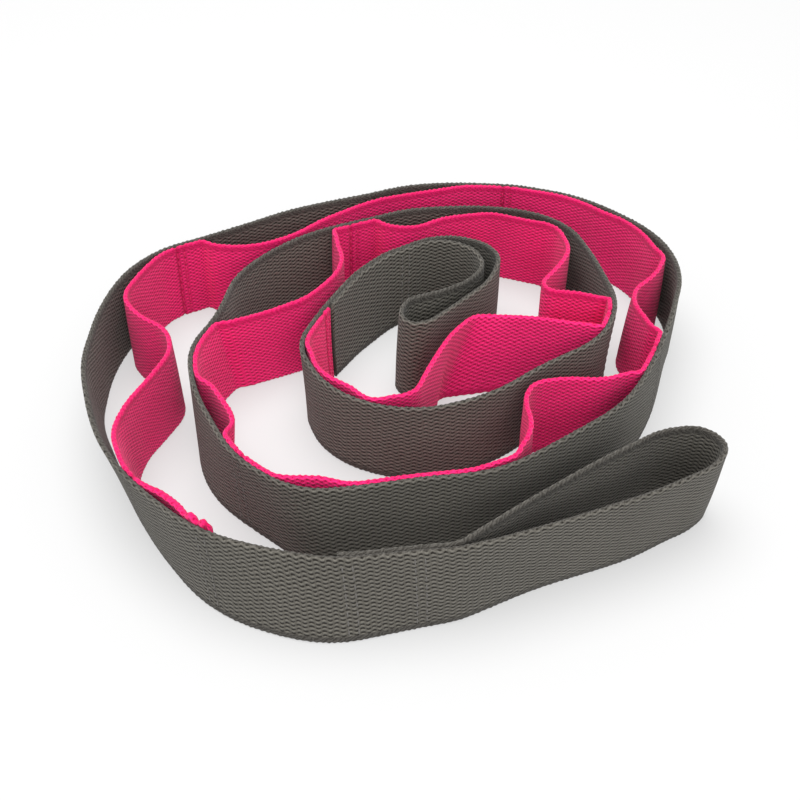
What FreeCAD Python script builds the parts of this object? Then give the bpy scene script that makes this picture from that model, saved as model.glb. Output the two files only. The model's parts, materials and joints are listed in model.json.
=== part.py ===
"""Stretching strap: a long webbing base with sewn loops, stood on edge in a coil.

Frame: millimetres, +Z up. The lower edge of the webbing stands on Z = 0, and the
origin is under the middle of the coil. The base webbing winds inwards clockwise,
seen from above, so its left-hand side is the outside of the coil. Every length
along it is a station, counted from the seam that closes the outer end loop.
"""
import FreeCAD, Part
import math
import os
from FreeCAD import Vector

SIZES = [
    ("webbing_width", 38.0, "height of every band, since it stands on edge"),
    ("base_thickness", 2.0, "base webbing"),
    ("loop_thickness", 2.0, "loop webbing, sewn to the inside of the base"),
    ("seam_length", 6.0, "sewn length at each seam, where the layers lie face to face"),
    ("layer_gap", 0.2, "between the two layers of an end loop, at its seam"),
    ("hinge_gap", 0.6, "gap where the strap folds at a seam"),
    ("outer_tail", 32.0, "base end folded back and sewn inside the outer seam"),
    ("inner_tail", 58.0, "base end folded back and sewn inside the inner seam"),
    ("tab_start", 82.0, "station where the loop webbing begins"),
    ("tab_base", 40.0, "base length under the first, puckered tab"),
    ("loop_1_base", 167.0, "base length under loop 1, and so on inwards"),
    ("loop_2_base", 167.0, ""),
    ("loop_3_base", 171.0, ""),
    ("loop_4_base", 204.0, ""),
    ("loop_5_base", 191.0, ""),
    ("loop_6_base", 177.0, ""),
    ("loop_7_base", 199.0, ""),
    ("end_base", 64.4, "base length from the last seam to the one that closes the inner end loop"),
    ("end_loop_lead", 10.0, "straight stretch where an end loop leaves its seam"),
    ("peel_radius", 15.0, "how the loop webbing curls off the base at a seam"),
    ("peel_length", 3.0, "length of that curl"),
    ("bow_lead", 4.0, "straight stretch between that curl and the loop's bow"),
    ("stitch_length", 3.0, "one stitch, across the webbing"),
    ("stitch_pitch", 4.1, "from one stitch to the next"),
    ("stitch_width", 0.9, "thread width"),
    ("stitch_height", 0.5, "how far a stitch stands off the webbing"),
    ("stitch_row_gap", 3.6, "between the two rows of a seam"),
    ("stitch_margin", 1.6, "plain webbing left at each edge"),
]

# Route of the base's inner face, from the outer seam to the inner seam. It is drawn at about its real
# size, and the whole coil is enlarged or reduced to the length that the spans add up to.
BASE_POINTS = [
    (12, -121), (-30, -125), (-68, -113), (-98, -86), (-116, -56), (-126, -20),
    (-127, 22), (-114, 59), (-80, 80), (-33, 106), (9, 121), (47, 124),
    (91, 110), (119, 78), (127, 47), (115, 12), (104, -18), (88, -43),
    (63, -65), (37, -81), (-2, -88), (-37, -92), (-60, -73), (-79, -36),
    (-84, -8), (-75, 15), (-70, 43), (-60, 60), (-40, 77), (-18, 89), (5, 98),
    (47, 102), (78, 90), (88, 60), (95, 26), (85, -1), (61, -18),
    (38, -37), (5, -49), (-26, -36), (-40, -6), (-32, 17), (-16, 47), (-5, 61), (6, 68),
]
# The end loops, each from its seam round the tip and back, measured from the seam.
OUTER_LOOP_POINTS = [
    (50, 14), (86, 30), (106, 41), (114, 53), (105, 64), (89, 62), (60, 41), (30, 20),
]
INNER_LOOP_POINTS = [
    (20, 8), (34, 3), (41, -9), (36, -27), (21, -44), (8, -59), (0, -61), (-5, -54), (-2, -43),
    (12, -37), (27, -27), (34, -15), (29, -2), (19, 4),
]

# Each loop's free route, from its first seam to the next: how far along the base, as a share of
# the base length between the two, and how far off the base in millimetres.
BOWS = {
    "loop_tab": [(0.375, 2.2), (0.625, 2.2)],
    "loop_1": [(0.156, 3), (0.251, 12), (0.365, 26), (0.467, 33), (0.569, 29), (0.641, 15), (0.725, 4),
               (0.844, 3.5)],
    "loop_2": [(0.108, 9), (0.198, 17), (0.299, 18), (0.431, 11), (0.575, 4), (0.754, 4.5)],
    "loop_3": [(0.211, 2), (0.421, 2), (0.602, 3), (0.690, 10), (0.760, 16), (0.830, 15), (0.895, 7)],
    "loop_4": [(0.088, 3.5), (0.147, 11), (0.201, 23), (0.275, 30), (0.333, 25), (0.373, 11), (0.431, 3),
               (0.559, 2), (0.735, 2), (0.873, 3.5)],
    "loop_5": [(0.110, 6.5), (0.215, 5.5), (0.295, 1.6), (0.400, 1.4), (0.462, 2), (0.523, 17),
               (0.590, 32), (0.717, 35), (0.838, 32), (0.901, 23), (0.921, 11)],
    "loop_6": [(0.102, 10), (0.169, 13), (0.249, 7), (0.373, 3), (0.576, 2), (0.695, 5), (0.774, 15),
               (0.842, 27), (0.893, 25), (0.915, 12)],
    "loop_7": [(0.085, 13), (0.171, 29), (0.226, 39), (0.246, 42), (0.271, 41), (0.322, 38), (0.422, 30),
               (0.487, 19), (0.543, 7), (0.633, 2), (0.774, 2), (0.894, 2)],
}

ARC_SHARE = 0.45      # of the shorter run beside a corner, taken by the corner's arc
TINY = 1e-6           # a stretch shorter than this is dropped


class Route:
    """A level line of straight runs and tangent arcs, each (point, heading, bend, length)."""

    def __init__(self, pieces):
        self.pieces = pieces
        self.length = sum(piece[3] for piece in pieces)

    @classmethod
    def through(cls, points):
        """Straight runs between points, with an arc at each corner."""
        pieces = []
        here = points[0]
        for before, corner, after in zip(points, points[1:], points[2:]):
            came, leaves = corner - before, after - corner
            turn = math.remainder(heading_of(leaves) - heading_of(came), math.tau)
            setback = ARC_SHARE * min(came.Length, leaves.Length)
            radius = setback / math.tan(abs(turn) / 2)
            arc_start = corner - unit(came) * setback
            pieces.append((here, heading_of(came), 0.0, (arc_start - here).Length))
            pieces.append((arc_start, heading_of(came), math.copysign(1 / radius, turn), abs(turn) * radius))
            here = corner + unit(leaves) * setback
        last = points[-1] - here
        pieces.append((here, heading_of(last), 0.0, last.Length))
        return cls(pieces)

    def locate(self, station):
        """Point and heading at a station."""
        for point, heading, bend, length in self.pieces[:-1]:
            if station <= length:
                return step(point, heading, bend, station)
            station -= length
        point, heading, bend, length = self.pieces[-1]
        return step(point, heading, bend, station)

    def at(self, station, left=0.0):
        point, heading = self.locate(station)
        return point + side(heading) * left

    def cut(self, start, end):
        """The stretch between two stations."""
        kept = []
        begins = 0.0
        for point, heading, bend, length in self.pieces:
            first, last = max(start - begins, 0.0), min(end - begins, length)
            if last - first > TINY:
                point, heading = step(point, heading, bend, first)
                kept.append((point, heading, bend, last - first))
            begins += length
        return Route(kept)

    def beside(self, left):
        """The parallel route at a distance to the left."""
        return Route([
            (point + side(heading) * left, heading, bend / (1 - bend * left), length * (1 - bend * left))
            for point, heading, bend, length in self.pieces
        ])

    def __add__(self, other):
        return Route(self.pieces + other.pieces)

    def edges(self):
        made = []
        for point, heading, bend, length in self.pieces:
            middle = step(point, heading, bend, length / 2)[0]
            end = step(point, heading, bend, length)[0]
            curve = Part.Arc(point, middle, end) if bend else Part.LineSegment(point, end)
            made.append(curve.toShape())
        return made

    def tightest(self):
        return min(1 / abs(bend) for _, _, bend, _ in self.pieces if bend)


def heading_of(vector):
    return math.atan2(vector.y, vector.x)


def unit(vector):
    return vector / vector.Length


def ahead(heading):
    """The unit vector along a heading."""
    return Vector(math.cos(heading), math.sin(heading), 0)


def side(heading):
    """The unit vector to the left of a heading."""
    return Vector(-math.sin(heading), math.cos(heading), 0)


def step(point, heading, bend, distance):
    """Point and heading after a distance along a run or an arc."""
    turned = heading + bend * distance
    if not bend:
        return point + ahead(heading) * distance, heading
    return point + (side(heading) - side(turned)) / bend, turned


def flat(points):
    return [Vector(x, y, 0) for x, y in points]


def band_outline(route, inner, outer, height=0.0):
    """The face between two parallels of a route."""
    near, far = route.beside(inner), route.beside(outer)
    ends = [
        Part.LineSegment(near.at(0), far.at(0)).toShape(),
        Part.LineSegment(near.at(near.length), far.at(far.length)).toShape(),
    ]
    wire = Part.Wire(Part.__sortEdges__(near.edges() + far.edges() + ends))
    face = Part.Face(wire)
    face.translate(Vector(0, 0, height))
    return face


doc = FreeCAD.newDocument("stretching_strap")
sheet = doc.addObject("Spreadsheet::Sheet", "Sizes")
for row, (alias, value, note) in enumerate(SIZES, start=1):
    sheet.set(f"A{row}", alias)
    sheet.set(f"B{row}", str(value))
    sheet.set(f"C{row}", note)
    sheet.setAlias(f"B{row}", alias)
doc.recompute()

nodes = []


def extrude(name, outline, length_name):
    """A node made by raising an outline by a length from the sheet."""
    profile = doc.addObject("Part::Feature", name + "_outline")
    profile.Shape = outline
    node = doc.addObject("Part::Extrusion", name)
    node.Base = profile
    node.DirMode = "Custom"
    node.Dir = Vector(0, 0, 1)
    node.Solid = True
    node.setExpression("LengthFwd", f"Sizes.{length_name}")
    node.Label = name
    nodes.append(node)
    return node


def band(name, route, inner, outer):
    return extrude(name, band_outline(route, inner, outer), "webbing_width")


def stitches(name, route, station, inner, outer):
    """Two rows of stitches across the webbing, on both faces of a seam."""
    count = int((sheet.webbing_width - 2 * sheet.stitch_margin) // sheet.stitch_pitch)
    row_length = (count - 1) * sheet.stitch_pitch + sheet.stitch_length
    lowest = (sheet.webbing_width - row_length) / 2
    faces = []
    for row in (-0.5, 0.5):
        middle = station + row * sheet.stitch_row_gap
        thread = route.cut(middle - sheet.stitch_width / 2, middle + sheet.stitch_width / 2)
        for low, high in ((inner - sheet.stitch_height, inner), (outer, outer + sheet.stitch_height)):
            for index in range(count):
                faces.append(band_outline(thread, low, high, lowest + index * sheet.stitch_pitch))
    return extrude(name, Part.Compound(faces), "stitch_length")


half_seam = sheet.seam_length / 2
half_loop = sheet.loop_thickness / 2

# Stations of the seams along the base. Each seam's sewn length belongs to the span inside it.
loop_names = [f"loop_{number}" for number in range(1, 8)]
seams = [sheet.tab_start, sheet.tab_start + sheet.tab_base]
for loop_name in loop_names:
    seams.append(seams[-1] + getattr(sheet, loop_name + "_base"))
tab_seam, first_seam, last_seam = seams[0], seams[1], seams[-1]
inner_seam = last_seam + sheet.end_base
drawn = Route.through(flat(BASE_POINTS))
base = Route.through([point * (inner_seam / drawn.length) for point in flat(BASE_POINTS)])
folding_seams = seams[1:3]


def span_end(seam):
    """Where the span outside a seam stops: short of a folding seam by the gap."""
    return seam - half_seam - (sheet.hinge_gap if seam in folding_seams else 0.0)


# Base webbing, one node from seam to seam.
starts = [sheet.hinge_gap] + [seam - half_seam for seam in seams[1:]]
ends = [span_end(seam) for seam in seams[1:]] + [inner_seam - sheet.hinge_gap]
for number, (start, end) in enumerate(zip(starts, ends), start=1):
    band(f"base_span_{number}", base.cut(start, end), 0.0, sheet.base_thickness)

# Folded-back ends, sewn inside the base behind each end loop.
band("outer_tail", base.cut(sheet.hinge_gap, sheet.outer_tail), -sheet.base_thickness, 0.0)
band("inner_tail", base.cut(inner_seam - sheet.inner_tail, inner_seam - sheet.hinge_gap),
     -sheet.base_thickness, 0.0)


def end_loop(name, station, outward, points):
    """A closed end loop: leaves the seam as the base and comes back as the folded end."""
    half = sheet.base_thickness / 2
    seam_point, heading = base.locate(station)
    onward = ahead(heading) * outward * sheet.end_loop_lead
    apart = side(heading) * (half + sheet.layer_gap / 2)
    leaves, returns = seam_point + apart, seam_point - apart
    round_tip = [seam_point + point for point in flat(points)]
    route = Route.through([leaves, leaves + onward, *round_tip, returns + onward, returns])
    band(name, route, -half, half)
    return route


outer_loop = end_loop("outer_end_loop", 0.0, -1, OUTER_LOOP_POINTS)
inner_loop = end_loop("inner_end_loop", inner_seam, 1, INNER_LOOP_POINTS)


def loop_route(name, start_seam, end_seam):
    """The middle line of the loop webbing, from one seam to the next."""
    sewn = base.cut(start_seam - half_seam, start_seam + half_seam).beside(-half_loop)
    curl = -1 / sheet.peel_radius
    leave = (*sewn.locate(sewn.length), curl, sheet.peel_length)
    off_point, off_heading = step(*leave)
    arrival = span_end(end_seam)
    meet_point, meet_heading = base.at(arrival, -half_loop), base.locate(arrival)[1]
    on_point, on_heading = step(meet_point, meet_heading, curl, -sheet.peel_length)
    under = end_seam - start_seam
    bow = [base.at(start_seam + share * under, -half_loop - off) for share, off in BOWS[name]]
    free = Route.through([
        off_point, off_point + ahead(off_heading) * sheet.bow_lead,
        *bow,
        on_point - ahead(on_heading) * sheet.bow_lead, on_point,
    ])
    return sewn + Route([leave]) + free + Route([(on_point, on_heading, curl, sheet.peel_length)])


loop_routes = {"loop_tab": loop_route("loop_tab", tab_seam, first_seam)}
for loop_name, start_seam, end_seam in zip(loop_names, seams[1:], seams[2:]):
    loop_routes[loop_name] = loop_route(loop_name, start_seam, end_seam)
loop_routes["loop_7"] = loop_routes["loop_7"] + base.cut(
    span_end(last_seam), last_seam + half_seam).beside(-half_loop)
for loop_name, route in loop_routes.items():
    band(loop_name, route, -half_loop, half_loop)

# Seams: the thread that holds the layers together.
both_layers = (-sheet.loop_thickness, sheet.base_thickness)
both_base_layers = (-sheet.base_thickness, sheet.base_thickness)
stitches("tab_end_stitches", base, tab_seam, *both_layers)
for number, seam in enumerate(seams[1:-1], start=1):
    stitches(f"seam_{number}_stitches", base, seam, *both_layers)
stitches("loop_end_stitches", base, last_seam, *both_layers)
stitches("outer_seam_stitches", base, half_seam + sheet.hinge_gap, *both_base_layers)
stitches("outer_tail_stitches", base, sheet.outer_tail - half_seam, *both_base_layers)
stitches("inner_seam_stitches", base, inner_seam - sheet.hinge_gap - half_seam, *both_base_layers)
stitches("inner_tail_stitches", base, inner_seam - sheet.inner_tail + half_seam, *both_base_layers)

doc.recompute()
box = FreeCAD.BoundBox()
for node in nodes:
    box.add(node.Shape.BoundBox)
for node in nodes:
    node.Placement = FreeCAD.Placement(Vector(-box.Center.x, -box.Center.y, 0), FreeCAD.Rotation())
doc.recompute()

for thing in doc.Objects:
    if "Invalid" in thing.State or "Error" in thing.State:
        raise SystemExit(f"{thing.Name} did not build: {thing.State}")
for node in nodes:
    if node.Shape.isNull() or not node.Shape.isValid() or not node.Shape.Solids:
        raise SystemExit(f"{node.Label} is not a valid solid")
os.makedirs("parts", exist_ok=True)
for node in nodes:
    node.Shape.exportStep(f"parts/{node.Label}.step")
print(f"base: drawn {drawn.length:.1f}, built {base.length:.1f}")
routes = {"base": base, "outer_end_loop": outer_loop, "inner_end_loop": inner_loop, **loop_routes}
for name, route in routes.items():
    print(f"{name}: length {route.length:.1f}, tightest radius {route.tightest():.1f}")
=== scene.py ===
"""Stretching strap: woven webbing and its sewing, laid along the bands of the frame.

Two long webbings make the strap. The dark base runs from its folded outer end, round the
outer end loop, inwards through the coil and round the inner end loop. The bright loop
webbing is sewn to its inner face. Lengths are in metres, and a station is a distance
along a webbing's middle line.
"""
import json
import math

import bmesh
import bpy
import numpy as np
from mathutils import Matrix, Vector


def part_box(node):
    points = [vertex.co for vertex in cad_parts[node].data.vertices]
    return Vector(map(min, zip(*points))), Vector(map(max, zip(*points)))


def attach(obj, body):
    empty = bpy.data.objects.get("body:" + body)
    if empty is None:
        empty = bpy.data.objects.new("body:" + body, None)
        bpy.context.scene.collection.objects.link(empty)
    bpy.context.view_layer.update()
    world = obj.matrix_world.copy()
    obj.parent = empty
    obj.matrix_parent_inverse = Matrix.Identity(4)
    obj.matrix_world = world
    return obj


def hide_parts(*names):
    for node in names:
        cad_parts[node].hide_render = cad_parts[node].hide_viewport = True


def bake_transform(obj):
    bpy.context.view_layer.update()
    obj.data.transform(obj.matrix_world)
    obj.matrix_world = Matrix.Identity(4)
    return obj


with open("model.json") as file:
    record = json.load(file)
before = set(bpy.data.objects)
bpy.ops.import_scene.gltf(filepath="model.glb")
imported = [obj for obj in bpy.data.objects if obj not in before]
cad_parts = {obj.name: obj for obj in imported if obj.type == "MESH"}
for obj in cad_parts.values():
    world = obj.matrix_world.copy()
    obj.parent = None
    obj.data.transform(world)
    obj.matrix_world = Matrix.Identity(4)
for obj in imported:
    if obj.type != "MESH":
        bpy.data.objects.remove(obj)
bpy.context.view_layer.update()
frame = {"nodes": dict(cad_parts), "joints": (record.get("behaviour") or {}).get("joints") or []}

MM = 0.001
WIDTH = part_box("base_span_3")[1].z       # the webbing stands on edge, so this is its width
THICKNESS = 2.0 * MM
SEWN = 6.0 * MM                          # sewn length at each seam
ROW_GAP = 3.6 * MM                       # between a seam's two rows of stitches
BASE_CHAIN = ["outer_tail", "outer_end_loop", *[f"base_span_{n}" for n in range(1, 10)],
              "inner_end_loop", "inner_tail"]
LOOP_CHAIN = ["loop_tab", *[f"loop_{n}" for n in range(1, 8)]]
BASE_SEAMS = ["tab_end", *[f"seam_{n}" for n in range(1, 8)], "loop_end",
              "outer_seam", "outer_tail", "inner_seam", "inner_tail"]


BESIDE_REACH = 35 * MM                   # how far along to look for the webbing beside
TOUCHING, CLOSE, LOOSE = 0.1 * MM, 2.6 * MM, 5 * MM   # clearances: laid flat, nearly flat, free


# ---------------------------------------------------------------- middle lines

def rim_of(node):
    """The corners of a band's lower face, in order round it."""
    shape = bmesh.new()
    shape.from_mesh(frame["nodes"][node].data)
    bmesh.ops.remove_doubles(shape, verts=shape.verts, dist=0.001 * MM)
    lower = {face for face in shape.faces if face.normal.z < -0.9}
    rim = [edge for face in lower for edge in face.edges
           if sum(other in lower for other in edge.link_faces) == 1]
    beside = {}
    for edge in rim:
        one, two = edge.verts
        beside.setdefault(one, []).append(two)
        beside.setdefault(two, []).append(one)
    walk = [rim[0].verts[0], beside[rim[0].verts[0]][0]]
    while walk[-1] is not walk[0]:
        first, second = beside[walk[-1]]
        walk.append(second if first is walk[-2] else first)
    points = np.array([corner.co.xy for corner in walk[:-1]])
    shape.free()
    return points


def nearest_on(points, place):
    """The nearest point of a line of straight runs to a place."""
    starts, runs = points[:-1], np.diff(points, axis=0)
    share = ((place - starts) * runs).sum(1) / np.maximum((runs * runs).sum(1), 1e-18)
    spots = starts + np.clip(share, 0, 1)[:, None] * runs
    return spots[np.argmin(np.linalg.norm(spots - place, axis=1))]


def middle_of(node):
    """The middle line of a band, halfway between its two walls."""
    rim = rim_of(node)
    before, after = rim - np.roll(rim, 1, axis=0), np.roll(rim, -1, axis=0) - rim
    cosine = (before * after).sum(1) / (np.linalg.norm(before, axis=1) * np.linalg.norm(after, axis=1))
    ends = np.argsort(cosine)[:4]
    first, second, third, fourth = sorted(ends)
    loop = np.concatenate([rim, rim])
    sides = [loop[first:second + 1], loop[second:third + 1], loop[third:fourth + 1],
             loop[fourth:first + len(rim) + 1]]
    lengths = [np.linalg.norm(np.diff(one, axis=0), axis=1).sum() for one in sides]
    walls = (0, 2) if lengths[0] + lengths[2] > lengths[1] + lengths[3] else (1, 3)
    wall, facing = sides[walls[0]], sides[walls[1]]
    return np.array([(corner + nearest_on(facing, corner)) / 2 for corner in wall])


def chain(nodes):
    """One middle line through bands that follow each other, and the station where each begins."""
    line, begins = None, {}
    lines = [middle_of(node) for node in nodes]
    gaps = [np.linalg.norm(lines[0][here] - lines[1][there]) for here in (0, -1) for there in (0, -1)]
    if int(np.argmin(gaps)) < 2:
        lines[0] = lines[0][::-1]
    for node, points in zip(nodes, lines):
        if line is None:
            line, begins[node] = points, 0.0
            continue
        if np.linalg.norm(points[-1] - line[-1]) < np.linalg.norm(points[0] - line[-1]):
            points = points[::-1]
        begins[node] = np.linalg.norm(np.diff(line, axis=0), axis=1).sum()
        line = np.concatenate([line, points])
    return line, begins


class Webbing:
    """The smoothed middle line of one webbing, in plan."""
    step = 0.5 * MM
    softness = 1.0 * MM

    def __init__(self, nodes):
        raw, self.begins = chain(nodes)
        travelled = np.concatenate([[0], np.cumsum(np.linalg.norm(np.diff(raw, axis=0), axis=1))])
        self.length = travelled[-1]
        self.stations = np.linspace(0, self.length, int(self.length / self.step) + 1)
        self.points = np.stack([np.interp(self.stations, travelled, raw[:, axis]) for axis in (0, 1)], 1)
        self.soften(self.softness)

    def soften(self, width):
        """Round the line's corners off, and note which way it heads."""
        reach = int(3 * width / self.step)
        weights = np.exp(-0.5 * (np.arange(-reach, reach + 1) * self.step / width) ** 2)
        weights /= weights.sum()
        before = 2 * self.points[0] - self.points[reach:0:-1]
        after = 2 * self.points[-1] - self.points[-2:-reach - 2:-1]
        padded = np.concatenate([before, self.points, after])
        self.points = np.stack([np.convolve(padded[:, axis], weights, "valid") for axis in (0, 1)], 1)
        ahead = np.gradient(self.points, axis=0)
        self.ahead = ahead / np.linalg.norm(ahead, axis=1)[:, None]

    def lie_against(self, other, own_seams, other_seams, start):
        """From a station on, lay this webbing flat against another one wherever it runs close beside it."""
        guess = np.interp(self.stations, own_seams, other_seams)
        first = np.searchsorted(other.stations, guess - BESIDE_REACH)
        last = np.searchsorted(other.stations, guess + BESIDE_REACH)
        for index in range(int(start / self.step), len(self.stations)):
            beside = other.points[first[index]:last[index]]
            distance = np.linalg.norm(self.points[index] - beside, axis=1)
            nearest = int(np.argmin(distance))
            clear = distance[nearest] - THICKNESS
            share = np.clip((clear - CLOSE) / (LOOSE - CLOSE), 0, 1)
            share = share * share * (3 - 2 * share)
            wanted = min(clear, TOUCHING + (clear - TOUCHING) * share)
            aim = (self.points[index] - beside[nearest]) / distance[nearest]
            self.points[index] = beside[nearest] + aim * (THICKNESS + wanted)
        self.soften(self.softness)

    def at(self, stations, left=0.0):
        """Places in plan at stations, so far to the left of the middle line."""
        along = [np.interp(stations, self.stations, self.points[:, axis]) for axis in (0, 1)]
        aim = [np.interp(stations, self.stations, self.ahead[:, axis]) for axis in (0, 1)]
        size = np.hypot(*aim)
        return np.stack([along[0] - left * aim[1] / size, along[1] + left * aim[0] / size], -1)

    def station_near(self, place, low=0.0, high=10.0):
        """The station nearest to a place, between two stations."""
        distance = np.linalg.norm(self.points - np.array(place)[:2], axis=1)
        distance[(self.stations < low) | (self.stations > high)] = np.inf
        return float(self.stations[np.argmin(distance)])


# ---------------------------------------------------------------- how the webbing stands

# The lower edge slips on the floor: place in plan, how far it slips, and how far that reaches.
SLIPS = [
    ((-25, -124), (2, -5), 32),
    ((-70, -108), (1, -4), 30),
    ((-106, -74), (3, 12), 28),
    ((-121, -38), (2, 3), 22),
    ((50, -112), (0, 4), 26),
    ((90, -95), (-1, 3), 26),
    ((118, -80), (-4, 2), 18),
    ((-66, -60), (-8, -1), 20),
    ((-52, -79), (7, 1), 18),
    ((-32, -22), (0, 2), 25),
    ((-10, 50), (-1, -8), 25),
    ((-62, 12), (7, 4), 18),
    ((103, 28), (-3, 1), 16),
    ((58, 92), (-1, 4), 25),
    ((34, 13), (-14, -9), 15),
]


def settle(points):
    """Where points of the upright bands end up: the lower edge slips, and the cloth wavers a little."""
    moved = points.copy()
    low = 1 - np.clip(points[:, 2] / WIDTH, 0, 1)
    for place, slip, reach in SLIPS:
        apart = points[:, :2] - np.array(place) * MM
        share = np.exp(-0.5 * (apart * apart).sum(1) / (reach * MM) ** 2) * low
        moved[:, :2] += share[:, None] * np.array(slip) * MM
    x, y, z = (points / MM).T
    moved[:, 0] += 0.35 * MM * np.sin(y / 9.3 + 0.8 * np.sin(z / 11) + 0.4)
    moved[:, 1] += 0.35 * MM * np.sin(x / 8.7 + 0.9 * np.sin(z / 9) + 1.1)
    moved[:, 2] += 0.3 * MM * np.sin(x / 14 + y / 17) * (1 - low)
    return moved


# ---------------------------------------------------------------- webbing pieces

KNOB = 2.25 * MM          # pitch of the knobs along a selvedge
KNOB_HEIGHT = 0.55 * MM
EDGE_DEPTH = 1.6 * MM     # how far a selvedge's knobs reach into the webbing
GROOVE_DEPTH = 0.4        # share of the webbing's thickness
ROW_WIDTH = 0.95 * MM     # half the width of the groove that a row of stitches pulls
PINCH = 0.5 * MM          # how far a row of stitches draws the selvedges in
SWELL_WIDTH = 2.5 * MM    # half the width of a knot of cloth at the tab's end
FACE_ROWS = 20            # mesh rows up each face
EDGE_ROWS = 6             # mesh rows round each selvedge
CLOTH_STEP = 0.5 * MM     # mesh step along the webbing


def cross_section():
    """Heights, distances from the middle and lengths round the webbing's cross-section."""
    half = THICKNESS / 2
    up = np.linspace(half, WIDTH - half, FACE_ROWS + 1)
    turn = np.linspace(0, math.pi, EDGE_ROWS + 1)[1:-1]
    height = np.concatenate([up, WIDTH - half + half * np.sin(turn), up[::-1], half - half * np.sin(turn)])
    offset = np.concatenate([np.full(len(up), half), half * np.cos(turn), np.full(len(up), -half), -half * np.cos(turn)])
    height, offset = np.append(height, height[0]), np.append(offset, offset[0])
    length = np.concatenate([[0], np.cumsum(np.hypot(np.diff(height), np.diff(offset)))])
    return height, offset, length


HEIGHTS, OFFSETS, ROUND = cross_section()
GIRTH = ROUND[-1]


def uneven(station, pitch, phase):
    """A wandering number between -1 and 1 along the webbing."""
    return np.sin(station / (0.31 * pitch) + phase) * np.sin(station / (0.47 * pitch) + 2 * phase + 1)


def near(station, places, width, flatness=2):
    """How near stations are to any of some places, 1 at one of them."""
    share = np.zeros_like(station)
    for place in places:
        share = np.maximum(share, np.exp(-((station - place) / width) ** flatness))
    return share


def webbing_piece(name, webbing, start, end, seams, material, sewn_in, swells=(), puffs=()):
    """A length of webbing between two stations, with knobbly selvedges, grooved along its seams' rows."""
    shape = bmesh.new()
    shape.loops.layers.uv.new("cloth")
    # The groove share is kept as an attribute for the finish, which paints shade along the stitch rows with it.
    groove_shade_layer = shape.verts.layers.float.new("groove")
    steps, rows = round((end - start) / CLOTH_STEP), len(HEIGHTS) - 1
    bmesh.ops.create_grid(shape, x_segments=steps, y_segments=rows, size=0.5, calc_uvs=True)
    flat = np.array([corner.co.xy for corner in shape.verts]) + 0.5
    station = start + flat[:, 0] * (end - start)
    row = flat[:, 1] * rows
    height = np.interp(row, np.arange(rows + 1), HEIGHTS)
    offset = np.interp(row, np.arange(rows + 1), OFFSETS)
    upper = height > WIDTH / 2
    edge = np.clip(1 - np.minimum(height, WIDTH - height) / EDGE_DEPTH, 0, 1)
    lean = offset / THICKNESS * 2
    turn = 2 * math.pi * station / KNOB + lean + 1.3 * uneven(station, 6 * KNOB, upper * 1.7)
    knob = (0.5 + 0.5 * np.cos(turn)) * (0.62 + 0.38 * uneven(station, 2.3 * KNOB, upper * 2.9 + 0.6))
    pull = near(station, [seam - ROW_GAP / 2 for seam in seams], ROW_WIDTH)
    pull = sewn_in * np.maximum(pull, 0.45 * near(station, [seam + ROW_GAP / 2 for seam in seams], ROW_WIDTH))
    pucker = near(station, seams, 0.35 * ROW_GAP) + near(station, [seam + ROW_GAP for seam in seams], 0.4 * ROW_GAP)
    swell = near(station, [place for place, _ in swells], SWELL_WIDTH, 4)
    swell_height = max([rise for _, rise in swells], default=0.0)
    rise = edge * (KNOB_HEIGHT * (knob - 0.4) - PINCH * pull + 0.4 * PINCH * sewn_in * pucker + swell_height * swell * upper)
    height = height + np.where(upper, 1, -1) * rise
    plump = 1 + 0.25 * edge * knob + 0.7 * swell * edge
    for middle, half_length in puffs:
        plump += 0.75 * edge * near(station, [middle], half_length, 4)
    offset = offset * plump * (1 - GROOVE_DEPTH * pull)
    plan = webbing.at(station, offset)
    places = settle(np.column_stack([plan, np.maximum(height, 0)]))
    for corner, place, share in zip(shape.verts, places, pull):
        corner.co = place
        corner[groove_shade_layer] = share
    bmesh.ops.remove_doubles(shape, verts=shape.verts, dist=0.001 * MM)
    for face in shape.faces:
        face.smooth = True
    open_edges = [edge for edge in shape.edges if edge.is_boundary]
    bmesh.ops.holes_fill(shape, edges=open_edges, sides=0)
    bmesh.ops.recalc_face_normals(shape, faces=shape.faces)
    mesh = bpy.data.meshes.new(name)
    shape.to_mesh(mesh)
    shape.free()
    cloth = np.zeros(len(mesh.loops) * 2)
    mesh.uv_layers["cloth"].data.foreach_get("uv", cloth)
    cloth[0::2] = start + cloth[0::2] * (end - start)
    cloth[1::2] = np.interp(cloth[1::2] * rows, np.arange(rows + 1), ROUND)
    mesh.uv_layers["cloth"].data.foreach_set("uv", cloth)
    mesh.materials.append(material)
    piece = bpy.data.objects.new(name, mesh)
    bpy.context.scene.collection.objects.link(piece)
    return piece


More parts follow.
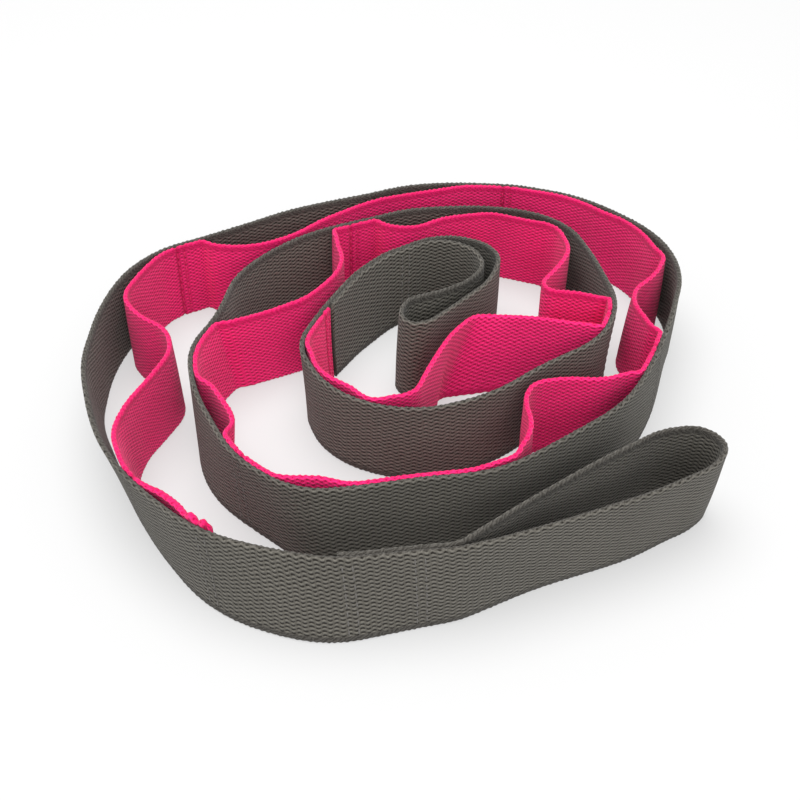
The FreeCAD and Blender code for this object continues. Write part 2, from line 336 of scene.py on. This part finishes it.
def seam_stitches(name, webbing, station, faces, materials):
    """Two rows of stitches across the webbing, on each of its faces (left, material number)."""
    pitch, long, count = 4.1 * MM, 3.2 * MM, 8
    lowest = (WIDTH - (count - 1) * pitch) / 2
    shape = bmesh.new()
    for left, number in faces:
        for side in (-0.5, 0.5):
            for index in range(count):
                before = set(shape.faces)
                made = bmesh.ops.create_icosphere(shape, subdivisions=1, radius=1.0)["verts"]
                here = station + side * ROW_GAP
                spot = webbing.at(here, left)
                aim = webbing.at(here + MM, left) - spot
                turn = Matrix.Rotation(math.atan2(aim[1], aim[0]), 4, "Z")
                size = Matrix.Diagonal((0.36 * MM, 0.22 * MM, long / 2, 1))
                place = Matrix.Translation((*spot, lowest + index * pitch))
                bmesh.ops.transform(shape, matrix=place @ turn @ size, verts=made)
                for face in set(shape.faces) - before:
                    face.material_index = number
                    face.smooth = True
    places = settle(np.array([corner.co for corner in shape.verts]))
    for corner, place in zip(shape.verts, places):
        corner.co = place
    mesh = bpy.data.meshes.new(name)
    shape.to_mesh(mesh)
    shape.free()
    for material in materials:
        mesh.materials.append(material)
    piece = bpy.data.objects.new(name, mesh)
    bpy.context.scene.collection.objects.link(piece)
    return piece


# ---------------------------------------------------------------- finishes

class Value:
    """A shader socket that sums can be written with."""

    def __init__(self, tree, socket):
        self.tree, self.socket = tree, socket

    def math(self, operation, *others):
        made = self.tree.nodes.new("ShaderNodeMath")
        made.operation = operation
        for slot, item in zip(made.inputs, (self, *others)):
            if isinstance(item, Value):
                self.tree.links.new(item.socket, slot)
            else:
                slot.default_value = item
        return Value(self.tree, made.outputs[0])

    def __add__(self, other):
        return self.math("ADD", other)

    def __sub__(self, other):
        return self.math("SUBTRACT", other)

    def __rsub__(self, other):
        return self.math("MULTIPLY", -1.0) + other

    def __rtruediv__(self, other):
        return (self ** -1.0) * other

    def __rpow__(self, other):
        return (self * math.log(other)).math("EXPONENT")

    def __mul__(self, other):
        return self.math("MULTIPLY", other)

    def __truediv__(self, other):
        return self.math("DIVIDE", other)

    def __pow__(self, other):
        return self.math("POWER", other)

    __radd__ = __add__
    __rmul__ = __mul__

    def clamped(self):
        return self.math("MAXIMUM", 0.0).math("MINIMUM", 1.0)

    def wave(self):
        """Cosine of so many whole turns."""
        return (self * (2 * math.pi)).math("COSINE")


class Finish:
    """A material and the nodes that make its shader."""

    def __init__(self, name):
        self.material = bpy.data.materials.new(name)
        self.material.use_nodes = True
        self.tree = self.material.node_tree
        self.shader = self.tree.nodes["Principled BSDF"]

    def node(self, kind, settings=None, **sockets):
        """A node of a kind: its settings first, then its sockets' values or links, by name."""
        made = self.tree.nodes.new("ShaderNode" + kind)
        for key, setting in (settings or {}).items():
            setattr(made, key, setting)
        for key, item in sockets.items():
            slot = made.inputs[int(key[1:])] if key[1:].isdigit() else made.inputs[key.replace("_", " ")]
            if isinstance(item, Value):
                self.tree.links.new(item.socket, slot)
            else:
                slot.default_value = item
        return made

    def value(self, node, output=0):
        return Value(self.tree, node.outputs[output])

    def mix(self, share, first, second):
        """A colour between two colours."""
        made = self.node("Mix", {"data_type": "RGBA"}, i0=share, i6=first, i7=second)
        return Value(self.tree, made.outputs[2])

    def noise(self, place, scale, detail=2.0, roughness=0.5):
        made = self.node("TexNoise", Vector=place, Scale=scale, Detail=detail, Roughness=roughness)
        return self.value(made)

    def set(self, **sockets):
        for key, item in sockets.items():
            slot = self.shader.inputs[key.replace("_", " ")]
            if isinstance(item, Value):
                self.tree.links.new(item.socket, slot)
            else:
                slot.default_value = item


def webbing_finish(name, wavelength, gap_length, light, dark, edge):
    """Coarse woven cotton: wavy rows of thick yarn with painted highlights on their bumps and painted shade in short
    gaps between them, and a smoother selvedge.
    """
    cotton = Finish(name)
    cloth = cotton.value(cotton.node("UVMap", {"uv_map": "cloth"}))
    split = cotton.node("SeparateXYZ", Vector=cloth)
    along, around = cotton.value(split, 0), cotton.value(split, 1)
    # The share of the stitch rows' grooves, used for painted shade.
    groove = cotton.value(cotton.node("Attribute", {"attribute_name": "groove"}), 2)
    drift = cotton.noise(cloth, 70.0) - 0.5
    jitter = cotton.noise(cloth, 450.0) - 0.5
    height = around.math("PINGPONG", GIRTH / 2)
    wave = (along / wavelength + drift * 0.6 + jitter * 0.2).wave()
    row = height / (1.83 * MM) + wave * 0.25 + drift * 0.3 + jitter * 0.35
    ridge = row.wave()
    column = wave.math("ABSOLUTE")
    # Painted shade and highlight: gap darkens the colour in the gaps between the yarns and knub lightens it on the
    # yarn bumps; both also shape the bump.
    gap_depth_and_shade = (-0.12 - ridge).clamped() * column ** gap_length * 1.3
    knub_height_and_highlight = ridge.clamped() * (0.1 + column ** 1.3 * 0.9)
    from_edge = (height - 1.0 * MM).math("MINIMUM", GIRTH / 2 - 1.0 * MM - height)
    edge_share = (1.5 - from_edge / MM).clamped()
    twist = (along / KNOB + height / (1.5 * MM) + jitter * 2.5).wave() * 0.5 + 0.5
    fibre = cotton.noise(cloth, 2600.0, 3.0, 0.7)
    patch = cotton.noise(cloth, 35.0, 3.0)
    # The weave mixes painted highlight on the bumps, painted shade in the gaps, and the selvedge's twist stripes.
    weave = (0.5 + knub_height_and_highlight * 0.56 - gap_depth_and_shade * 0.9) * (1 - edge_share) + (0.25 + twist * 0.6) * edge_share
    # Painted shade: the colour darkens along the grooves that the rows of stitches pull.
    shown = (weave * (1 - groove * 0.92)).clamped()
    yarn = cotton.mix(edge_share, light, edge)
    colour = cotton.mix(shown, dark, yarn)
    shade = cotton.node("HueSaturation", Value=0.30 + fibre * 1.15 + patch * 0.26, Color=colour)
    relief = (knub_height_and_highlight * 0.45 - gap_depth_and_shade * 0.8) * (1 - edge_share) + edge_share * twist * 0.5 + fibre * 0.5
    bump = cotton.node("Bump", Strength=0.9, Distance=0.4 * MM, Height=relief)
    cotton.set(Base_Color=cotton.value(shade), Roughness=0.95, Normal=cotton.value(bump))
    cotton.shader.inputs["Specular IOR Level"].default_value = 0.15
    cotton.shader.inputs["Sheen Weight"].default_value = 0.08
    cotton.shader.inputs["Sheen Roughness"].default_value = 0.5
    return cotton.material


def thread_finish(name, light, dark):
    """Matt twisted sewing thread."""
    thread = Finish(name)
    place = thread.value(thread.node("TexCoord"), 3)
    split = thread.node("SeparateXYZ", Vector=place)
    lay = (thread.value(split, 2) / (0.7 * MM) + thread.value(split, 0) / (0.5 * MM)).wave() * 0.5 + 0.5
    bump = thread.node("Bump", Strength=0.5, Distance=0.1 * MM, Height=lay)
    thread.set(Base_Color=thread.mix(lay, dark, light), Roughness=0.8, Normal=thread.value(bump))
    return thread.material


# Each webbing's light and dark colours are lit and shaded tones of its cotton, which the weave mixes as painted
# highlight and painted shade; the third colour is the selvedge's own.
base_cotton = webbing_finish("dark_grey_webbing", 4.45 * MM, 1.2, (0.160, 0.150, 0.129, 1), (0.015, 0.013, 0.010, 1),
                             (0.086, 0.080, 0.071, 1))
loop_cotton = webbing_finish("bright_pink_webbing", 3.3 * MM, 2.2, (1.0, 0.030, 0.205, 1), (0.42, 0.001, 0.058, 1),
                             (0.66, 0.012, 0.122, 1))
grey_thread = thread_finish("grey_thread", (0.16, 0.15, 0.14, 1), (0.07, 0.065, 0.06, 1))
pink_thread = thread_finish("pink_thread", (0.85, 0.02, 0.16, 1), (0.55, 0.005, 0.08, 1))


# ---------------------------------------------------------------- the strap

base = Webbing(BASE_CHAIN)
loops = Webbing(LOOP_CHAIN)
print("webbing", base.length, loops.length)

joint_at = {joint["name"]: joint for joint in frame["joints"]}


def spot_of(node):
    low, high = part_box(node)
    return (low + high) / 2


outer_seam = base.begins["base_span_1"]
inner_seam = base.begins["inner_end_loop"]
print("stations", {name: round(value / MM, 1) for name, value in base.begins.items()})
print("stations", {name: round(value / MM, 1) for name, value in loops.begins.items()})

seam_names = ["tab_end", *[f"seam_{n}" for n in range(1, 8)], "loop_end"]
base_seams = [base.station_near(spot_of(name + "_stitches"), outer_seam, inner_seam) for name in seam_names]
loop_seams = [loops.station_near(spot_of(name + "_stitches")) for name in seam_names]
outer_seams = [base.station_near(spot_of(name + "_stitches"), outer_seam, inner_seam)
               for name in ("outer_seam", "outer_tail")]
inner_seams = [base.station_near(spot_of(name + "_stitches"), outer_seam, inner_seam)
               for name in ("inner_seam", "inner_tail")]
tail_seams = [2 * outer_seam - 0 - s for s in outer_seams]
print("base seams", [round(s / MM, 1) for s in base_seams], outer_seams, inner_seams)

loops.lie_against(base, loop_seams, base_seams, loop_seams[2])
fold = 15 * MM
TAB_BRAID = [(23 * MM, 11 * MM)]                         # middle and half length of the thick braided edge
TAB_KNOTS = [(2.6 * MM, 2.4 * MM), (8.6 * MM, 2.4 * MM)]     # station and rise of the puckers at the tab's end


def crossing(joint, reach=fold):
    """The two places, in plan, between which the webbing bends at a joint, outer end first."""
    pivot = base.station_near(Vector(joint_at[joint]["pos_m"]), outer_seam - 2 * MM, inner_seam + 2 * MM)
    return (*base.at(pivot - reach), 0.0), (*base.at(pivot + reach), 0.0)


base_cuts = [0.0, base_seams[0] - 22 * MM, (base_seams[1] + base_seams[2]) / 2,
             (base_seams[2] + base_seams[3]) / 2, base_seams[5] + 40 * MM, base_seams[8] - 20 * MM, base.length]
base_pieces = []
for number, (start, end) in enumerate(zip(base_cuts, base_cuts[1:]), start=1):
    base_pieces.append(webbing_piece(f"base_webbing_{number}", base, start, end, base_seams, base_cotton, 0.2))
loop_cuts = [0.0, (loop_seams[1] + loop_seams[2]) / 2, (loop_seams[2] + loop_seams[3]) / 2,
             loop_seams[6] + 20 * MM, loops.length]
loop_pieces = []
for number, (start, end) in enumerate(zip(loop_cuts, loop_cuts[1:]), start=1):
    loop_pieces.append(webbing_piece(f"loop_webbing_{number}", loops, start, end, loop_seams, loop_cotton, 1.0,
                                     TAB_KNOTS, TAB_BRAID))

OUTSIDE = THICKNESS / 2
stitch_pieces = {}
for name, station in zip(seam_names, base_seams):
    stitch_pieces[name] = seam_stitches(name + "_thread", base, station, ((OUTSIDE, 0), (-3 * OUTSIDE, 1)),
                                        (grey_thread, pink_thread))
for name, station in zip(("outer_seam", "outer_tail", "inner_seam", "inner_tail"), outer_seams + inner_seams):
    stitch_pieces[name] = seam_stitches(name + "_thread", base, station, ((OUTSIDE, 0), (-3 * OUTSIDE, 0)),
                                        (grey_thread,))


def bend(piece, joint):
    crossing(joint)
    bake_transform(piece)


def bend_inner(piece):
    """The inner end loop curls back beside its seam; its piece's place is baked into its mesh."""
    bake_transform(piece)


bend(base_pieces[0], "outer_loop_swing")
bend(base_pieces[1], "outer_end_swing")
bend(base_pieces[2], "first_loop_swing")
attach(base_pieces[3], "coil")
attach(base_pieces[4], "coil")
bend_inner(base_pieces[5])
bend(loop_pieces[0], "outer_end_swing")
bend(loop_pieces[1], "first_loop_swing")
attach(loop_pieces[2], "coil")
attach(loop_pieces[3], "coil")
for name, piece in stitch_pieces.items():
    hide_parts(name + "_stitches")
bend(stitch_pieces["outer_seam"], "outer_loop_swing")
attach(stitch_pieces["outer_tail"], "outer_end_span")
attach(stitch_pieces["tab_end"], "outer_end_span")
bend(stitch_pieces["seam_1"], "outer_end_swing")
bend(stitch_pieces["seam_2"], "first_loop_swing")
for name in [f"seam_{n}" for n in range(3, 8)] + ["loop_end", "inner_tail"]:
    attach(stitch_pieces[name], "coil")
bend_inner(stitch_pieces["inner_seam"])


def stand_for(pieces, cuts, begins, ends):
    """Each piece stands for the bands that it runs through, which it hides."""
    for piece, start, end in zip(pieces, cuts, cuts[1:]):
        through = [node for node in begins if begins[node] < end and ends[node] > start]
        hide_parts(*through)
        end - start


def ends_of(webbing):
    order = list(webbing.begins)
    return {node: webbing.begins[after] if after else webbing.length
            for node, after in zip(order, [*order[1:], None])}


stand_for(base_pieces, base_cuts, base.begins, ends_of(base))
stand_for(loop_pieces, loop_cuts, loops.begins, ends_of(loops))


# ---------------------------------------------------------------- floor, light and camera

def plain_floor():
    shape = bmesh.new()
    bmesh.ops.create_grid(shape, x_segments=1, y_segments=1, size=6.0)
    mesh = bpy.data.meshes.new("floor")
    shape.to_mesh(mesh)
    shape.free()
    paper = Finish("white_paper")
    paper.set(Base_Color=(0.24, 0.24, 0.24, 1), Roughness=0.9)
    paper.shader.inputs["Specular IOR Level"].default_value = 0.1
    paper.shader.inputs["Emission Color"].default_value = (1, 1, 1, 1)
    paper.shader.inputs["Emission Strength"].default_value = 0.50
    mesh.materials.append(paper.material)
    floor = bpy.data.objects.new("floor", mesh)
    bpy.context.scene.collection.objects.link(floor)


def soft_light(name, place, target, size, power):
    lamp = bpy.data.lights.new(name, "AREA")
    lamp.shape, lamp.size, lamp.energy = "DISK", size, power
    light = bpy.data.objects.new(name, lamp)
    light.location = place
    light.rotation_euler = (Vector(target) - Vector(place)).to_track_quat("-Z", "Y").to_euler()
    bpy.context.scene.collection.objects.link(light)


plain_floor()
soft_light("softbox_above", (-0.1, 0.15, 1.3), (0, 0, 0), 1.2, 21)
soft_light("softbox_front", (0.25, -1.3, 0.9), (0, 0, 0.02), 0.9, 9.5)
world = bpy.data.worlds.new("studio")
world.use_nodes = True
world.node_tree.nodes["Background"].inputs["Color"].default_value = (1, 1, 1, 1)
world.node_tree.nodes["Background"].inputs["Strength"].default_value = 0.97
bpy.context.scene.world = world
bpy.context.scene.view_settings.view_transform = "Standard"

camera_data = bpy.data.cameras.new("camera")
camera_data.lens, camera_data.sensor_width = 56.6, 36.0
camera = bpy.data.objects.new("camera", camera_data)
camera.location = Vector((2.4, -417.7, 353.4)) * MM
camera.rotation_euler = (math.radians(50), 0, 0)
bpy.context.scene.collection.objects.link(camera)
bpy.context.scene.camera = camera
